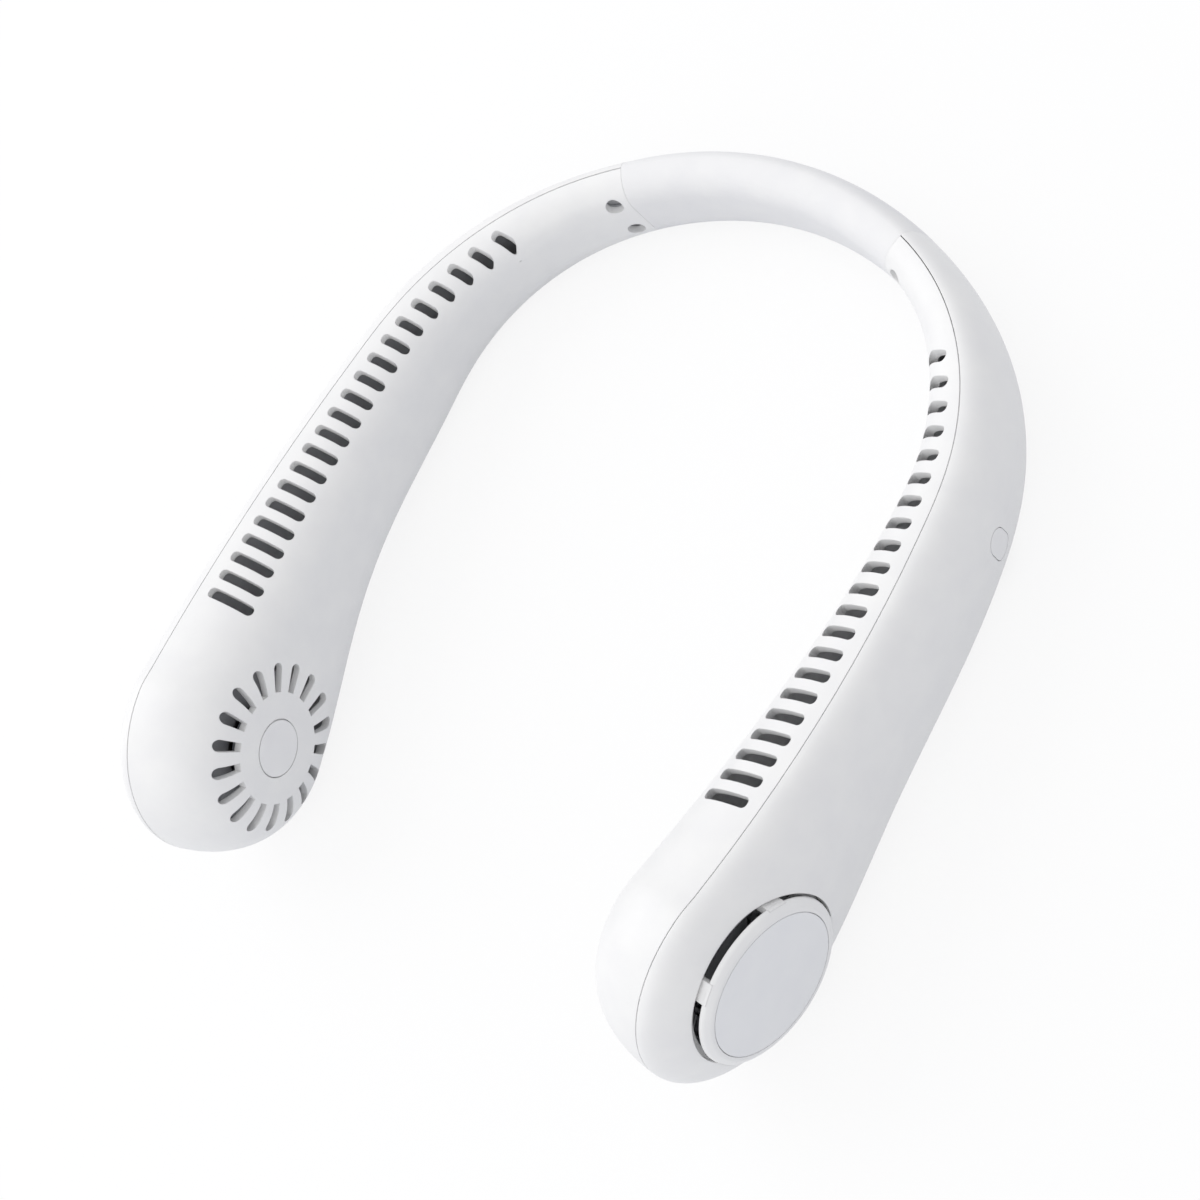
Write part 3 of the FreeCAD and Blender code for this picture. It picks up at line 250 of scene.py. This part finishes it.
def rounding(start, corner, end, fullness):
    """Points of a quarter turn between two straight lines that meet in the corner."""
    points = []
    for index in range(CORNER_STEPS + 1):
        share = index / CORNER_STEPS
        weights = ((1 - share) ** 2, 2 * share * (1 - share) * fullness, share ** 2)
        total = sum(weights)
        pull = list(zip(weights, (start, corner, end)))
        points.append([sum(weight * spot[axis] for weight, spot in pull) / total for axis in (0, 1)])
    return points


def sleeve_outline(inset):
    """Cross-section of the sleeve, shrunk by the inset: (out, height) points, without repeats."""
    top, bottom, middle = BAND_HEIGHT - inset, inset, BAND_HEIGHT / 2
    outer, inner = OUTER_DEPTH - inset, INNER_DEPTH - inset
    flat = FLAT_SHARE * (top - bottom) / 2
    points = rounding((0, bottom), (outer, bottom), (outer, middle), ELLIPSE)[:-1]
    points += rounding((outer, middle), (outer, top), (0, top), ELLIPSE)[:-1]
    points += rounding((0, top), (-inner, top), (-inner, middle + flat), INNER_FULLNESS)
    points += rounding((-inner, middle - flat), (-inner, bottom), (0, bottom), INNER_FULLNESS)[:-1]
    return points


def sweep(bm, corners, side, angle):
    """Closed outline at the band's middle, swept round to one side. Returns its first and last edges."""
    verts = [bm.verts.new(corner) for corner in corners]
    edges = [bm.edges.new(pair) for pair in zip(verts, verts[1:] + verts[:1])]
    swept = bmesh.ops.spin(bm, geom=verts + edges, cent=neck_centre, axis=(0, 0, 1), dvec=(0, 0, 0),
                           angle=math.radians(-side * angle), steps=ARC_STEPS, use_duplicate=False)
    return edges, [item for item in swept["geom_last"] if isinstance(item, bmesh.types.BMEdge)]


def band_piece(name, bm, node):
    """Finish a half of the band: smooth shading with sharp edges kept, its finish, and the CAD piece it
    stands in for hidden.
    """
    bmesh.ops.recalc_face_normals(bm, faces=bm.faces)
    mesh = bpy.data.meshes.new(name)
    bm.to_mesh(mesh)
    bm.free()
    for face in mesh.polygons:
        face.use_smooth = True
    mesh.set_sharp_from_angle(angle=math.radians(SHARP_ANGLE))
    mesh.materials.append(finishes[slots[node]])
    piece = bpy.data.objects.new(name, mesh)
    scene.collection.objects.link(piece)
    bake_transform(piece)
    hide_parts(node)


def silicone_sleeve(side_name, side):
    bm = bmesh.new()
    reach = BAND_HALF_ANGLE - degrees_of(END_GAP)
    skin_start, skin_end = sweep(bm, [on_band(*spot) for spot in sleeve_outline(0)], side, reach)
    bore_start, bore_end = sweep(bm, [on_band(*spot) for spot in sleeve_outline(SLEEVE_WALL)], side, reach)
    bmesh.ops.bridge_loops(bm, edges=skin_start + bore_start)
    bmesh.ops.bridge_loops(bm, edges=skin_end + bore_end)
    bmesh.ops.bevel(bm, geom=skin_end, offset=END_ROUND * MM, segments=3, profile=0.5, affect="EDGES",
                    material=-1)
    band_piece("soft_band_" + side_name, bm, "neck_band")


def round_bars(name, node, side_name, side, bars, reach):
    """Round bars along the band, given as (radius, out, height)."""
    bm = bmesh.new()
    for radius, out, height in bars:
        turns = [math.tau * index / BAR_SIDES for index in range(BAR_SIDES)]
        corners = [on_band(out + radius * math.cos(turn), height + radius * math.sin(turn)) for turn in turns]
        for loop in sweep(bm, corners, side, reach):
            bmesh.ops.edgeloop_fill(bm, edges=loop)
    band_piece(name + side_name, bm, node)


for side_name, side in (("left", 1), ("right", -1)):
    silicone_sleeve(side_name, side)
    wires = [(WIRE_RADIUS, 0, BAND_HEIGHT / 2 + shift) for shift in (-WIRE_SPREAD, WIRE_SPREAD)]
    round_bars("spring_wires_", "band_core_wires", side_name, side, wires,
               BAND_HALF_ANGLE - degrees_of(TONGUE - WIRE_SEAT))
    round_bars("band_cable_", "band_cable", side_name, side,
               [(CABLE_RADIUS, -CABLE_SETBACK, CABLE_HEIGHT)], BAND_HALF_ANGLE)


# Camera at the photograph's viewing angle, fitted to the seam lines of both arms.

camera = bpy.data.objects.new("camera", bpy.data.cameras.new("camera"))
scene.collection.objects.link(camera)
camera.location = (0.41732, -0.0967, 0.59957)
camera.rotation_euler = [math.radians(angle) for angle in (22.1114, 29.2999, 28.1505)]
camera.data.sensor_width = 36
camera.data.lens = 85.43
scene.camera = camera


# White floor, even world light and soft lamps.

def seen_directly(tree):
    """1 for rays that show the surface itself, to the camera or in a reflection."""
    path = add_node(tree, "ShaderNodeLightPath")
    glossy = add_node(tree, "ShaderNodeMath", {"operation": "MAXIMUM"})
    tree.links.new(path.outputs["Is Glossy Ray"], glossy.inputs[0])
    tree.links.new(path.outputs["Is Transmission Ray"], glossy.inputs[1])
    seen = add_node(tree, "ShaderNodeMath", {"operation": "MAXIMUM"})
    tree.links.new(path.outputs["Is Camera Ray"], seen.inputs[0])
    tree.links.new(glossy.outputs[0], seen.inputs[1])
    return seen.outputs[0]


FLOOR_SIZE = 12.0
FLOOR_SEEN = "FAFAFB"
FLOOR_BOUNCE = "D8DADF"   # what the floor throws back on the object
FLOOR_DROP = 0.0002       # keeps the floor clear of the faces that rest on it
FLOOR_GLOW = 0.85         # how much of the white is the floor's own, the rest takes the shadow

floor_mesh = bpy.data.meshes.new("floor")
bm = bmesh.new()
bmesh.ops.create_grid(bm, x_segments=1, y_segments=1, size=FLOOR_SIZE / 2)
bm.to_mesh(floor_mesh)
bm.free()
floor = bpy.data.objects.new("floor", floor_mesh)
floor.location.z = -FLOOR_DROP
scene.collection.objects.link(floor)

floor_paint = bpy.data.materials.new("floor_paint")
floor_paint.use_nodes = True
tree = floor_paint.node_tree
seen = seen_directly(tree)
colour = add_node(tree, "ShaderNodeMix", {"data_type": "RGBA"})
tree.links.new(seen, colour.inputs["Factor"])
colour.inputs[6].default_value = srgb(FLOOR_BOUNCE)
colour.inputs[7].default_value = srgb(FLOOR_SEEN)
paint = add_node(tree, "ShaderNodeBsdfDiffuse", Color=colour.outputs[2])
glow = add_node(tree, "ShaderNodeEmission", Strength=1.0)
share = add_node(tree, "ShaderNodeMath", {"operation": "MULTIPLY"})
tree.links.new(seen, share.inputs[0])
share.inputs[1].default_value = FLOOR_GLOW
both = add_node(tree, "ShaderNodeMixShader", Fac=share.outputs[0])
tree.links.new(paint.outputs[0], both.inputs[1])
tree.links.new(glow.outputs[0], both.inputs[2])
tree.links.new(both.outputs[0], tree.nodes["Material Output"].inputs["Surface"])
floor_mesh.materials.append(floor_paint)

WORLD_LIGHT = 0.8

world = bpy.data.worlds.new("studio")
world.use_nodes = True
tree = world.node_tree
level = add_node(tree, "ShaderNodeMapRange", Value=seen_directly(tree), To_Min=WORLD_LIGHT, To_Max=1.0)
tree.links.new(level.outputs["Result"], tree.nodes["Background"].inputs["Strength"])
tree.nodes["Background"].inputs["Color"].default_value = srgb("FBFBFD")
scene.world = world


LAMP_AIM = Vector((0, 0, 0.03))


def lamp(name, place, size, power):
    """Soft square lamp, in metres and watts, that points at the object."""
    data = bpy.data.lights.new(name, "AREA")
    data.shape = "SQUARE"
    data.size = size
    data.energy = power
    made = bpy.data.objects.new(name, data)
    scene.collection.objects.link(made)
    made.location = place
    made.rotation_euler = (LAMP_AIM - Vector(place)).to_track_quat("-Z", "Y").to_euler()


lamp("key", (-1.3, 0.1, 1.3), 1.6, 11.5)
lamp("front", (-0.2, -1.5, 0.9), 1.4, 4.5)

scene.view_settings.view_transform = "Standard"
